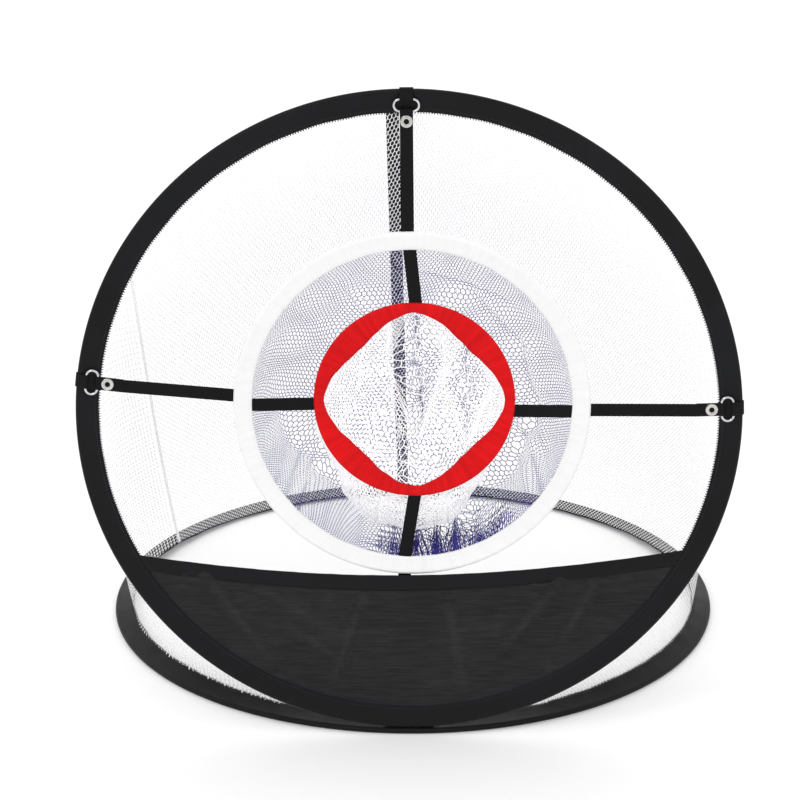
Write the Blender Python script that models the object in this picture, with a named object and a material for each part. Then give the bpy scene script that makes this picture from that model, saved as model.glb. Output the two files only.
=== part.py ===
"""Pop-up chipping net for golf practice: two spring hoops sewn together at the front, a catch net
between them, and a two-ring target with net pockets hung on webbing in the standing hoop.

Metres, +Z up. The object rests on z = 0 and faces -Y; the origin is on the floor at the middle of
the base hoop's front, and the fold axis runs along X just above and behind it.
"""
import math

import bmesh
import bpy
from mathutils import Matrix, Vector

# driving dimensions
HOOP_RADIUS = 0.258        # outer edge of either black sleeve, a 20 inch class hoop
HOOP_SLEEVE = 0.018        # width of the folded tape
HOOP_TUBE = 0.0026         # outer radius of the sleeve where it goes round the wire
TAPE = 0.00045             # one layer of sleeve tape
SLIT = 0.0005              # opening between the two layers at the seam side
WIRE_RADIUS = 0.0009       # spring steel wire
FERRULE_OUTER = 0.00155
FERRULE_INNER = 0.0012
FERRULE_LENGTH = 0.008

LEAN = math.radians(4.0)   # the standing hoop leans back this much
FOLD_AXIS_Y = 0.0028
FOLD_AXIS_Z = 0.0054
HOOP_PLANE_Y = -0.0029     # the standing hoop's mid plane, ahead of the fold axis
HOOP_FOOT = 0.0003         # its lowest edge above the fold axis
BASE_CENTRE_Y = HOOP_RADIUS - HOOP_TUBE
BASE_FLAT = math.radians(28)   # half angle of the flat that the base sleeve rests on
BASE_TILT = (12, 22, -34)  # degrees: at the front seam, added at the sides, taken off at the rear

TARGET_PLANE = 0.0045      # the target hangs this far behind the hoop's mid plane
MIDDLE_RADIUS = 0.1385
MIDDLE_SLEEVE = 0.0145
MIDDLE_CENTRE = (0.0025, 0.0082)   # from the hoop's centre, across and up
INNER_RADIUS = 0.078
INNER_SLEEVE = (0.0078, 0.0195)    # narrowest at the straps, widest on the diagonals
INNER_CENTRE = (0.0044, 0.0124)
TARGET_TUBE = 0.0024
TARGET_TAPE = 0.0004

STRAP_WIDTH = 0.010
STRAP = 0.0008             # webbing thickness
LOOP_WIDTH = 0.0105
LOOP_TAPE = 0.0006
RING_LONG = 0.021          # oval link ring, outside
RING_SHORT = 0.011
RING_WIRE = 0.0010
RING_DEPTH = 0.012         # ring centre, inward from the hoop's outer edge
RING_RAISE = 0.0042        # ring plane ahead of the hoop's mid plane
EYELET_DEPTH = 0.0243
STRAP_END = 0.0360         # the folded end of the webbing stops here, inward from the hoop's edge
EYELET_FLANGE = 0.0048
EYELET_BARREL = 0.0027
EYELET_HOLE = 0.0020
EYELET_SHEET = 0.0005

APRON = 0.0006             # panel cloth
APRON_TOP = (-0.1140, -0.1302, -0.1085)   # top edge at the left, centre and right, from the hoop centre
BINDING_HEIGHT = 0.0125
BINDING_TAPE = 0.00045

NET = 0.0008               # thickness that stands for knotted mesh
BLUE_DEPTH = 0.105
BLUE_DROP = 0.032
WHITE_DEPTH = 0.076        # the small bag's closed end, behind its ring and below its centre
WHITE_DROP = 0.055
WHITE_BELLY = (0.092, 0.115, 0.062, 0.0625)   # half width, half height, drop and depth of the line it hangs over
CATCH_SAG = 0.016
CATCH_HOLES = (12, 6)      # openings that stand for the fine mesh, round the hoops and between them
BLUE_HOLES = (12, 4)       # round the ring, and from the ring to the closed end
WHITE_HOLES = (10, 3)
CORD_SHARE = 0.17          # how much of a mesh pitch the cord between two openings takes
GAP = 0.0003

STEPS = 64

for old in list(bpy.data.objects):
    bpy.data.objects.remove(old, do_unlink=True)
for old in list(bpy.data.meshes):
    bpy.data.meshes.remove(old)


def material(name, colour, roughness, metallic=0.0):
    made = bpy.data.materials.new(name)
    made.use_nodes = True
    shader = made.node_tree.nodes["Principled BSDF"]
    shader.inputs["Base Color"].default_value = (*colour, 1)
    shader.inputs["Roughness"].default_value = roughness
    shader.inputs["Metallic"].default_value = metallic
    made.diffuse_color = (*colour, 1)
    return made


black_tape = material("black tape", (0.020, 0.021, 0.024), 0.75)
black_web = material("black webbing", (0.012, 0.012, 0.014), 0.8)
black_cloth = material("black oxford cloth", (0.028, 0.028, 0.030), 0.7)
white_tape = material("white tape", (0.86, 0.86, 0.87), 0.75)
red_tape = material("red tape", (0.75, 0.010, 0.015), 0.6)
blue_mesh = material("blue mesh", (0.030, 0.025, 0.30), 0.6)
white_mesh = material("white mesh", (0.86, 0.86, 0.88), 0.6)
chrome = material("chromed steel", (0.80, 0.80, 0.81), 0.18, 1.0)
nickel = material("nickelled eyelet", (0.72, 0.71, 0.69), 0.3, 1.0)
spring_steel = material("spring steel", (0.30, 0.30, 0.31), 0.35, 1.0)
crimp_steel = material("crimp steel", (0.45, 0.45, 0.46), 0.4, 1.0)


def empty(name, location, rotation=(0, 0, 0), parent=None):
    made = bpy.data.objects.new(name, None)
    made.empty_display_size = 0.03
    made.location = location
    made.rotation_euler = rotation
    made.parent = parent
    bpy.context.collection.objects.link(made)
    return made


def finish(name, bm, look, parent=None, smooth=True, sharp=40):
    """Close the mesh, face it outwards and make it an object under its parent."""
    bmesh.ops.remove_doubles(bm, verts=bm.verts, dist=1e-6)
    bmesh.ops.recalc_face_normals(bm, faces=bm.faces)
    mesh = bpy.data.meshes.new(name)
    bm.to_mesh(mesh)
    bm.free()
    mesh.materials.append(look)
    if smooth:
        mesh.shade_smooth()
        mesh.set_sharp_from_angle(angle=math.radians(sharp))
    made = bpy.data.objects.new(name, mesh)
    made.parent = parent
    bpy.context.collection.objects.link(made)
    return made


def smoothstep(low, high, value):
    share = min(max((value - low) / (high - low), 0.0), 1.0)
    return share * share * (3 - 2 * share)


def loft(bm, sections, closed, leans=None):
    """Join equal sections, each a closed loop of points, one after the other.

    A twisted skin is given leans, which says for each side of the section which diagonal splits its
    quads, so that the two faces of a thin layer fold along the same line.
    """
    rows = [[bm.verts.new(point) for point in section] for section in sections]
    pairs = list(zip(rows, rows[1:]))
    if closed:
        pairs.append((rows[-1], rows[0]))
    count = len(rows[0])
    for first, second in pairs:
        for k in range(count):
            after = (k + 1) % count
            if leans is None:
                bm.faces.new((first[k], first[after], second[after], second[k]))
            elif leans[k]:
                bm.faces.new((first[k], first[after], second[after]))
                bm.faces.new((first[k], second[after], second[k]))
            else:
                bm.faces.new((first[k], first[after], second[k]))
                bm.faces.new((first[after], second[after], second[k]))
    if not closed:
        bm.faces.new(list(reversed(rows[0])))
        bm.faces.new(rows[-1])


def sleeve_section(width, tube, tape, outer_angles, inner_angles, tilt=0.0):
    """Folded tape as (inward, normal) points: round the wire, then two layers side by side.

    Angles are those of the tube's points; the layers leave it at its first and last point.
    """
    centre = (tube, 0.0)
    reach = width - tube
    along = (math.cos(tilt), math.sin(tilt))
    across = (-math.sin(tilt), math.cos(tilt))

    def web(offset):
        return (centre[0] + reach * along[0] + offset * across[0],
                centre[1] + reach * along[1] + offset * across[1])

    def round_point(radius, angle):
        return (centre[0] + radius * math.cos(angle), centre[1] + radius * math.sin(angle))

    outside = SLIT / 2 + tape
    points = [web(outside)]
    points += [round_point(tube, angle) for angle in outer_angles]
    points.append(web(-outside))
    points.append(web(-SLIT / 2))
    points += [round_point(tube - tape, angle) for angle in reversed(inner_angles)]
    points.append(web(SLIT / 2))
    return points


def spread(first, last, count):
    return [math.radians(first + (last - first) * k / (count - 1)) for k in range(count)]


def base_tilt(turn):
    """How far the base sleeve's seam edge is lifted, by the angle from the front seam."""
    away = abs(math.degrees(turn))
    lifted = BASE_TILT[0] + BASE_TILT[1] * smoothstep(14, 50, away)
    return math.radians(lifted + BASE_TILT[2] * smoothstep(72, 150, away))


def wire_ring(name, radius, centre, facing, parent, seam, sides=6, steps=STEPS):
    """An open ring of round wire whose two ends meet in a ferrule at the seam angle."""
    bm = bmesh.new()
    half_gap = 0.0005 / radius
    sections = []
    for k in range(steps + 1):
        turn = seam + half_gap + (math.tau - 2 * half_gap) * k / steps
        ring = []
        for j in range(sides):
            angle = math.tau * j / sides
            reach = radius + WIRE_RADIUS * math.cos(angle)
            ring.append(facing(reach * math.cos(turn), reach * math.sin(turn),
                               WIRE_RADIUS * math.sin(angle)))
        sections.append(ring)
    loft(bm, sections, closed=False)
    made = finish(name, bm, spring_steel, parent)
    made.location = centre
    return made


def ferrule(name, radius, centre, facing, parent, seam, sides=10):
    """A short crimp tube over the wire's two ends."""
    bm = bmesh.new()
    middle = Vector((radius * math.cos(seam), radius * math.sin(seam)))
    tangent = Vector((-math.sin(seam), math.cos(seam)))
    outward = Vector((math.cos(seam), math.sin(seam)))
    stations = ((FERRULE_OUTER, -0.5), (FERRULE_OUTER, 0.5), (FERRULE_INNER, 0.5), (FERRULE_INNER, -0.5))
    sections = []
    for reach, along in stations:
        ring = []
        for j in range(sides):
            angle = math.tau * j / sides
            place = middle + tangent * along * FERRULE_LENGTH + outward * reach * math.cos(angle)
            ring.append(facing(place.x, place.y, reach * math.sin(angle)))
        sections.append(ring)
    loft(bm, sections, closed=True)
    made = finish(name, bm, crimp_steel, parent)
    made.location = centre
    return made


def upright(across, up, ahead):
    """From a ring's own plane to the standing hoop's frame, whose front is -Y."""
    return Vector((across, -ahead, up))


def lying(across, back, above):
    """From a ring's own plane to the floor, with its angle 0 at +X."""
    return Vector((across, back, above))


# ---- the base hoop, lying on the floor

BASE_TUBE_Z = HOOP_TUBE * math.cos(BASE_FLAT)
base_centre = (0, BASE_CENTRE_Y, BASE_TUBE_Z)
BASE_SEAM = math.tau * 11 / STEPS


def base_point(turn, inward, above):
    """A point by its angle from the front seam, its distance in from the outer edge and its height."""
    reach = HOOP_RADIUS - inward
    return Vector((reach * math.sin(turn), BASE_CENTRE_Y - reach * math.cos(turn), BASE_TUBE_Z + above))


def base_sleeve():
    bm = bmesh.new()
    low, high = 270 - math.degrees(BASE_FLAT), 270 + math.degrees(BASE_FLAT)
    sections = []
    for k in range(STEPS):
        turn = math.tau * k / STEPS
        away = turn if turn <= math.pi else turn - math.tau
        tilt = base_tilt(away)
        top = 72 + math.degrees(tilt)
        rounded = spread(top, 200, 5) + [math.radians(low), math.radians(high)]
        inner = spread(top, 198, 4) + [math.radians(low), math.radians(high)]
        profile = sleeve_section(HOOP_SLEEVE, HOOP_TUBE, TAPE, rounded, inner, tilt)
        sections.append([base_point(turn, inward, above) for inward, above in profile])
    leans = [point[0] < after[0] for point, after in zip(profile, profile[1:] + profile[:1])]
    loft(bm, sections, closed=True, leans=leans)
    return finish("base_hoop_sleeve", bm, black_tape)


base_sleeve()
wire_line = HOOP_RADIUS - HOOP_TUBE
wire_ring("base_hoop_wire", wire_line, base_centre, lying, None, BASE_SEAM)
ferrule("base_wire_ferrule", wire_line, base_centre, lying, None, BASE_SEAM)


# ---- the standing hoop, on the fold axis

fold_axis = empty("fold_axis", (0, FOLD_AXIS_Y, FOLD_AXIS_Z), (-LEAN, 0, 0))
hoop_centre = empty("hoop_centre", (0, HOOP_PLANE_Y, HOOP_FOOT + HOOP_RADIUS), parent=fold_axis)
target_centre = empty("target_centre", (0, TARGET_PLANE, 0), parent=hoop_centre)


def turned_sleeve(name, radius, width, tube, tape, look, parent, centre, steps, points):
    """Folded tape round an upright ring; the width may follow the angle."""
    bm = bmesh.new()
    sections = []
    for k in range(steps):
        turn = math.tau * k / steps
        profile = sleeve_section(width(turn), tube, tape, spread(72, 288, points), spread(72, 288, points - 1))
        sections.append([upright((radius - inward) * math.cos(turn), (radius - inward) * math.sin(turn), ahead)
                         for inward, ahead in profile])
    loft(bm, sections, closed=True)
    made = finish(name, bm, look, parent)
    made.location = centre
    return made


turned_sleeve("front_hoop_sleeve", HOOP_RADIUS, lambda turn: HOOP_SLEEVE, HOOP_TUBE, TAPE, black_tape,
              hoop_centre, (0, 0, 0), STEPS, 6)
wire_ring("front_hoop_wire", wire_line, (0, 0, 0), upright, hoop_centre, math.tau * 39 / STEPS)
ferrule("front_wire_ferrule", wire_line, (0, 0, 0), upright, hoop_centre, math.tau * 39 / STEPS)


# ---- the target's two rings

def on_target(centre):
    return (centre[0], 0, centre[1])


def red_width(turn):
    narrow, wide = INNER_SLEEVE
    return narrow + (wide - narrow) * abs(math.sin(2 * turn)) ** 1.5


turned_sleeve("middle_ring_sleeve", MIDDLE_RADIUS, lambda turn: MIDDLE_SLEEVE, TARGET_TUBE, TARGET_TAPE,
              white_tape, target_centre, on_target(MIDDLE_CENTRE), 48, 6)
turned_sleeve("inner_ring_sleeve", INNER_RADIUS, red_width, TARGET_TUBE, TARGET_TAPE,
              red_tape, target_centre, on_target(INNER_CENTRE), 48, 6)
for name, radius, centre, steps, seam in (("middle_ring", MIDDLE_RADIUS, MIDDLE_CENTRE, 48, 247.5),
                                          ("inner_ring", INNER_RADIUS, INNER_CENTRE, 48, 292.5)):
    line = radius - TARGET_TUBE
    wire_ring(name + "_wire", line, on_target(centre), upright, target_centre, math.radians(seam), steps=steps)
    ferrule(name + "_ferrule", line, on_target(centre), upright, target_centre, math.radians(seam))


# ---- webbing: ribbons that follow a path in a plane and have a width across it

def ribbon(bm, path, thickness, width, place):
    """A strip along path, whose points are (along, out of plane); place maps (along, side, out)."""
    normals = []
    for k, point in enumerate(path):
        before = Vector(path[max(k - 1, 0)])
        after = Vector(path[min(k + 1, len(path) - 1)])
        first = (Vector(point) - before).normalized() if k else (after - Vector(point)).normalized()
        second = (after - Vector(point)).normalized() if k + 1 < len(path) else first
        mean = (first + second).normalized()
        stretch = 1 / max(mean.dot(first), 0.6)
        normals.append(Vector((-mean.y, mean.x)) * thickness / 2 * stretch)
    sections = []
    for point, normal in zip(path, normals):
        left, right = Vector(point) + normal, Vector(point) - normal
        sections.append([place(left.x, -width / 2, left.y), place(left.x, width / 2, left.y),
                         place(right.x, width / 2, right.y), place(right.x, -width / 2, right.y)])
    loft(bm, sections, closed=False)


def arc(centre, radius, first, last, count):
    return [(centre[0] + radius * math.cos(angle), centre[1] + radius * math.sin(angle))
            for angle in spread(first, last, count)]


def inward_frame(turn, side_shift=0.0):
    """Maps (inward from the hoop's outer edge, side, ahead) at an angle round the standing hoop."""
    outward = Vector((math.cos(turn), math.sin(turn)))
    side = Vector((-outward.y, outward.x))

    def place(inward, across, ahead):
        flat = outward * (HOOP_RADIUS - inward) + side * (across + side_shift)
        return upright(flat.x, flat.y, ahead)
    return place


def reach_to_circle(turn, centre, radius):
    """Distance inward from the hoop's outer edge, along its radius, to a circle in its plane."""
    outward = Vector((math.cos(turn), math.sin(turn)))
    start = outward * HOOP_RADIUS - Vector(centre)
    along = start.dot(outward)
    return along - math.sqrt(along * along - start.length_squared + radius * radius)


def sleeve_top(inward):
    """Height of the hoop sleeve's face over its mid plane, past the tube."""
    tube_end = (HOOP_TUBE * (1 + math.cos(math.radians(72))), HOOP_TUBE * math.sin(math.radians(72)))
    share = (inward - tube_end[0]) / (HOOP_SLEEVE - tube_end[0])
    return tube_end[1] + (SLIT / 2 + TAPE - tube_end[1]) * share


OUTER_BAR = RING_DEPTH - RING_SHORT / 2 + RING_WIRE
INNER_BAR = RING_DEPTH + RING_SHORT / 2 - RING_WIRE


def tape_loop(name, turn):
    """Tape round the hoop's sleeve and over the outer bar of the link ring, its end tucked under."""
    round_bar = RING_WIRE + GAP + LOOP_TAPE / 2
    off = GAP + LOOP_TAPE / 2
    path = [(0.0165, -sleeve_top(0.0165) - off - 0.0001), (0.0045, -sleeve_top(0.0045) - off - 0.0001)]
    path += arc((HOOP_TUBE, 0), HOOP_TUBE + off + 0.0001, -82, -252, 9)
    path += arc((OUTER_BAR, RING_RAISE), round_bar, 108, -90, 9)
    path.append((0.0048, sleeve_top(0.0048) + off + 0.0001))
    bm = bmesh.new()
    ribbon(bm, path, LOOP_TAPE, LOOP_WIDTH, inward_frame(turn))
    return finish(name, bm, black_web, hoop_centre)


def link_ring(name, turn):
    """An oval ring of round wire, its long side across the strap."""
    place = inward_frame(turn)
    end = RING_SHORT / 2 - RING_WIRE
    half_bar = RING_LONG / 2 - RING_SHORT / 2
    sections = []
    for flank in (1, -1):
        for k in range(8):
            angle = math.radians(-90 + 180 * k / 7)
            ring = []
            for j in range(7):
                about = math.tau * j / 7
                reach = end + RING_WIRE * math.cos(about)
                inward = RING_DEPTH + flank * reach * math.sin(angle)
                across = flank * (half_bar + reach * math.cos(angle))
                ring.append(place(inward, across, RING_RAISE + RING_WIRE * math.sin(about)))
            sections.append(ring)
    bm = bmesh.new()
    loft(bm, sections, closed=True)
    return finish(name, bm, chrome, hoop_centre, sharp=60)


def eyelet(name, turn):
    """A turned eyelet: barrel through both layers of the strap's end, with a flange on each face."""
    place = inward_frame(turn)
    grip = STRAP + GAP / 2 + GAP
    crown = EYELET_SHEET * 0.55
    profile = [(EYELET_HOLE, grip + EYELET_SHEET * 0.6), (EYELET_HOLE + crown, grip + EYELET_SHEET),
               (EYELET_FLANGE - crown, grip + EYELET_SHEET * 0.8), (EYELET_FLANGE, grip),
               (EYELET_BARREL, grip)]
    profile += [(reach, -ahead) for reach, ahead in reversed(profile)]
    sections = []
    for k in range(16):
        angle = math.tau * k / 16
        sections.append([place(EYELET_DEPTH + reach * math.cos(angle), reach * math.sin(angle),
                               RING_RAISE + ahead) for reach, ahead in profile])
    bm = bmesh.new()
    loft(bm, sections, closed=True)
    return finish(name, bm, nickel, hoop_centre, sharp=50)


def outer_strap(name, turn):
    """Webbing from the link ring to the middle ring; its end is folded round the ring's inner bar."""
    layer = GAP / 2 + STRAP / 2
    round_bar = RING_WIRE + GAP + STRAP / 2
    far = reach_to_circle(turn, MIDDLE_CENTRE, MIDDLE_RADIUS + GAP)
    path = [(STRAP_END, RING_RAISE - layer), (EYELET_DEPTH - 0.0052, RING_RAISE - layer)]
    path += arc((INNER_BAR, RING_RAISE), round_bar, 300, 60, 9)
    path += [(EYELET_DEPTH - 0.0052, RING_RAISE + layer), (STRAP_END, RING_RAISE + layer)]
    path.append((far, -TARGET_PLANE))
    bm = bmesh.new()
    ribbon(bm, path, STRAP, STRAP_WIDTH, inward_frame(turn))
    made = finish(name, bm, black_web, hoop_centre, smooth=False)
    place = inward_frame(turn)
    cutter_mesh = bpy.data.meshes.new(name + "_hole")
    tool = bmesh.new()
    bmesh.ops.create_cone(tool, cap_ends=True, segments=16, radius1=EYELET_BARREL + GAP,
                          radius2=EYELET_BARREL + GAP, depth=0.006)
    tool.to_mesh(cutter_mesh)
    tool.free()
    cutter = bpy.data.objects.new(name + "_hole", cutter_mesh)
    cutter.parent = hoop_centre
    cutter.location = place(EYELET_DEPTH, 0, RING_RAISE)
    cutter.rotation_euler = (math.radians(90), 0, 0)
    cutter.hide_render = True
    cutter.display_type = "WIRE"
    bpy.context.collection.objects.link(cutter)
    hole = made.modifiers.new("eyelet hole", "BOOLEAN")
    hole.operation = "DIFFERENCE"
    hole.object = cutter
    return made


link_turns = {"top": math.radians(90.3), "left": math.radians(173.3), "right": math.radians(1.9)}
for side, turn in link_turns.items():
    tape_loop("tape_loop_" + side, turn)
    link_ring("link_ring_" + side, turn)
    eyelet("eyelet_" + side, turn)
    outer_strap("outer_strap_" + side, turn)


def bottom_strap():
    """Behind the apron, from the middle ring down to the back of the hoop's sleeve."""
    turn = math.radians(270)
    place = inward_frame(turn, -0.0035)
    far = reach_to_circle(turn, MIDDLE_CENTRE, MIDDLE_RADIUS + GAP)
    off = GAP + STRAP / 2
    path = [(0.0065, -sleeve_top(0.0065) - off), (0.0175, -sleeve_top(0.0175) - off - 0.0004),
            (0.030, -0.0030), (far, -TARGET_PLANE)]
    bm = bmesh.new()
    ribbon(bm, path, STRAP, STRAP_WIDTH, place)
    return finish("outer_strap_bottom", bm, black_web, hoop_centre, smooth=False)


bottom_strap()


def inner_strap(name, first_turn, last_turn):
    """Webbing between the target's rings, from one seam angle to another, square at both ends."""
    seam = MIDDLE_RADIUS - MIDDLE_SLEEVE - 2 * GAP
    edge = INNER_RADIUS + 2 * GAP
    first = Vector(MIDDLE_CENTRE) + seam * Vector((math.cos(first_turn), math.sin(first_turn)))
    last = Vector(INNER_CENTRE) + edge * Vector((math.cos(last_turn), math.sin(last_turn)))
    along = (last - first).normalized()
    side = Vector((-along.y, along.x))
    middle, inner = Vector(MIDDLE_CENTRE), Vector(INNER_CENTRE)
    sections = []
    for k in range(5):
        across = side * STRAP_WIDTH * (k / 4 - 0.5)
        # each edge starts on the middle ring's seam circle and ends on the red ring's edge
        start = first + across - middle
        reach = start.dot(along)
        begin = middle + start - along * (reach + math.sqrt(reach ** 2 - start.length_squared + seam ** 2))
        stop = last + across - inner
        depth = stop.dot(along)
        end = inner + stop - along * (depth + math.sqrt(depth ** 2 - stop.length_squared + edge ** 2))
        sections.append([upright(begin.x, begin.y, STRAP / 2), upright(end.x, end.y, STRAP / 2),
                         upright(end.x, end.y, -STRAP / 2), upright(begin.x, begin.y, -STRAP / 2)])
    bm = bmesh.new()
    loft(bm, sections, closed=False)
    return finish(name, bm, black_web, target_centre, smooth=False)


for side, first, last in (("top", 90.8, 89.2), ("left", 180.0, 182.4), ("right", -2.2, -6.4),
                          ("bottom", 267.3, 270.2)):
    inner_strap("inner_strap_" + side, math.radians(first), math.radians(last))


# ---- the apron in the lower part of the standing hoop

def apron_edge(across):
    """Height of the apron's sagging top edge, with across from -1 to 1."""
    left, middle, right = APRON_TOP
    tilt, sag = (right - left) / 2, (right + left) / 2 - middle
    return middle + tilt * across + sag * across * across


def seam_reach(up, clearance):
    """Half width of the hoop's opening at a height below its centre."""
    radius = HOOP_RADIUS - HOOP_SLEEVE - clearance
    return math.sqrt(radius * radius - up * up)


def apron_panel():
    columns, rows, end = 32, 2, 0.985

    def seam_angle(across):
        up = apron_edge(across) - BINDING_HEIGHT
        return math.atan2(up, math.copysign(seam_reach(up, 2 * GAP), across))

    bm = bmesh.new()
    grid = []
    radius = HOOP_RADIUS - HOOP_SLEEVE - 2 * GAP
    for k in range(columns + 1):
        share = k / columns
        across = (2 * share - 1) * end
        top = apron_edge(across) - BINDING_TAPE - GAP
        edge = Vector((across * seam_reach(top, 0.0016), top))
        turn = seam_angle(-end) * (1 - share) + seam_angle(end) * share
        foot = Vector((radius * math.cos(turn), radius * math.sin(turn)))
        grid.append([bm.verts.new(upright(*edge.lerp(foot, j / rows), 0)) for j in range(rows + 1)])
    for first, second in zip(grid, grid[1:]):
        for j in range(rows):
            bm.faces.new((first[j], first[j + 1], second[j + 1], second[j]))
    made = finish("apron_panel", bm, black_cloth, hoop_centre)
    solid = made.modifiers.new("cloth thickness", "SOLIDIFY")
    solid.thickness = APRON
    solid.offset = 0
    return made


def apron_binding():
    """Tape folded over the apron's top edge, from seam to seam."""
    inside = APRON / 2 + GAP
    outside = inside + BINDING_TAPE
    profile = [(BINDING_HEIGHT, outside), (0.0004, outside), (0, outside - 0.0004), (0, -outside + 0.0004),
               (0.0004, -outside), (BINDING_HEIGHT, -outside), (BINDING_HEIGHT, -inside),
               (BINDING_TAPE, -inside), (BINDING_TAPE, inside), (BINDING_HEIGHT, inside)]
    sections = []
    for k in range(23):
        across = 2 * k / 22 - 1
        section = []
        for drop, ahead in profile:
            up = apron_edge(across) - drop
            section.append(upright(across * seam_reach(up, 2 * GAP), up, ahead))
        sections.append(section)
    bm = bmesh.new()
    loft(bm, sections, closed=False)
    return finish("apron_binding", bm, black_tape, hoop_centre)


apron_panel()
apron_binding()


# ---- netting, as thin shells of its real outer shape, opened by a plain grid of holes

def mesh_lines(holes, splits, closed=False):
    """Where the grid lines lie from 0 to 1 over a row of holes, and which spans between them are open."""
    cord = CORD_SHARE / holes
    pitch = 1 / holes if closed else (1 - cord) / holes
    lines, is_open = [0.0], []
    for k in range(holes):
        lines.append(k * pitch + cord)
        lines += [k * pitch + cord + (pitch - cord) * (j + 1) / splits for j in range(splits)]
        is_open += [False] + [True] * splits
    if not closed:
        lines.append(1.0)
        is_open.append(False)
    return lines, is_open


def netting(name, bm, look, parent=None):
    made = finish(name, bm, look, parent)
    wall = made.modifiers.new("net thickness", "SOLIDIFY")
    wall.thickness = NET
    wall.offset = 0
    return made


def pocket(name, place, look, holes):
    """A net bag behind a ring; place gives a point by its angle and its share of the way to the ring."""
    turns, open_round = mesh_lines(holes[0], 2, closed=True)
    shares, open_deep = mesh_lines(holes[1], 1)
    turns.pop()
    bm = bmesh.new()
    rings = [[bm.verts.new(place(math.tau * (turn - 0.5 * CORD_SHARE / holes[0]), 1 - share)) for turn in turns]
             for share in shares[:-1]]
    end = bm.verts.new(place(0, 0))
    for first, second, cut in zip(rings, rings[1:], open_deep):
        for k, hole in enumerate(open_round):
            after = (k + 1) % len(turns)
            if not (cut and hole):
                bm.faces.new((first[k], first[after], second[after], second[k]))
    for k in range(len(turns)):
        bm.faces.new((rings[-1][k], rings[-1][(k + 1) % len(turns)], end))
    return netting(name, bm, look, target_centre)


def blue_bag(turn, share):
    """A bowl whose bottom hangs lower than its ring."""
    radius = MIDDLE_RADIUS - MIDDLE_SLEEVE - 0.0012
    reach = radius * math.sin(math.pi / 2 * share) ** 0.8
    back = math.cos(math.pi / 2 * share) ** 0.9
    return Vector((MIDDLE_CENTRE[0] + reach * math.cos(turn), 0.0007 + BLUE_DEPTH * back,
                   MIDDLE_CENTRE[1] + reach * math.sin(turn) - BLUE_DROP * back ** 1.5))


def white_bag(turn, share):
    """A sock: from the red sleeve's edge over a bent line down to the closed end."""
    half, high, drop, back = WHITE_BELLY
    cosine, sine = math.cos(turn), math.sin(turn)
    edge = INNER_RADIUS - red_width(turn) - 0.0018
    start = Vector((edge * cosine, 0, edge * sine))
    bend = Vector((math.copysign(half * abs(cosine) ** 0.7, cosine) - 0.006, back + 0.0075 * sine,
                   high * sine - drop))
    end = Vector((0, WHITE_DEPTH, -WHITE_DROP))
    point = start * share ** 2 + bend * 2 * share * (1 - share) + end * (1 - share) ** 2
    return point + Vector((INNER_CENTRE[0], 0.0008, INNER_CENTRE[1]))


pocket("middle_pocket_net", blue_bag, blue_mesh, BLUE_HOLES)
pocket("inner_pocket_net", white_bag, white_mesh, WHITE_HOLES)

hoop_frame = Matrix.Translation((0, FOLD_AXIS_Y, FOLD_AXIS_Z)) @ Matrix.Rotation(-LEAN, 4, "X") \
    @ Matrix.Translation((0, HOOP_PLANE_Y, HOOP_FOOT + HOOP_RADIUS))


def front_seam(turn, inward):
    """A point just behind the standing hoop in the world, by its angle from the foot."""
    reach = HOOP_RADIUS - inward
    return hoop_frame @ Vector((reach * math.sin(turn), 0.0020, -reach * math.cos(turn)))


def base_seam(turn, past):
    tilt = base_tilt(turn if turn <= math.pi else turn - math.tau)
    reach = HOOP_SLEEVE - HOOP_TUBE + past
    return base_point(turn, HOOP_TUBE + reach * math.cos(tilt), reach * math.sin(tilt))


def catch_net():
    """The large net from the standing hoop's seam to the base hoop's seam."""
    start = math.radians(26)
    turns, open_round = mesh_lines(CATCH_HOLES[0], 3)
    shares, open_down = mesh_lines(CATCH_HOLES[1], 1)
    bm = bmesh.new()
    grid = []
    for along in turns:
        turn = start + (math.tau - 2 * start) * along
        top, foot = front_seam(turn, HOOP_SLEEVE - 0.0002), base_seam(turn, 0.0016)
        line = []
        for share in shares:
            hang = CATCH_SAG * 4 * share * (1 - share) * ((1 - math.cos(turn)) / 2)
            line.append(bm.verts.new(top.lerp(foot, share) - Vector((0, hang * 0.5, hang))))
        grid.append(line)
    for first, second, hole in zip(grid, grid[1:], open_round):
        for j, cut in enumerate(open_down):
            if not (cut and hole):
                bm.faces.new((first[j], first[j + 1], second[j + 1], second[j]))
    return netting("catch_net", bm, white_mesh)


def rear_stay_strap():
    """Webbing down the back, from behind the top of the standing hoop to the rear of the base."""
    turn = math.pi
    shift = Vector((-0.0121, 0, 0))
    off = GAP + STRAP / 2 + 0.0001

    def behind(inward, extra=0.0):
        local = Vector((0, sleeve_top(inward) + off + extra, HOOP_RADIUS - inward))
        return hoop_frame @ local + shift

    def above(inward, extra=0.0):
        return base_point(turn, inward, sleeve_top(inward) + off + extra) + shift

    path = [behind(0.0050), behind(0.0120), behind(0.0145, 0.0014), above(0.0145, 0.0014), above(0.0120),
            above(0.0050)]
    sections = []
    for k, point in enumerate(path):
        before, after = path[max(k - 1, 0)], path[min(k + 1, len(path) - 1)]
        first = (point - before).normalized() if k else (after - point).normalized()
        second = (after - point).normalized() if k + 1 < len(path) else first
        mean = (first + second).normalized()
        normal = Vector((0, mean.z, -mean.y)) * STRAP / 2 / max(mean.dot(first), 0.6)
        half = Vector((STRAP_WIDTH / 2, 0, 0))
        sections.append([point + normal - half, point + normal + half, point - normal + half,
                         point - normal - half])
    bm = bmesh.new()
    loft(bm, sections, closed=False)
    return finish("rear_stay_strap", bm, black_web, smooth=False)


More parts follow.
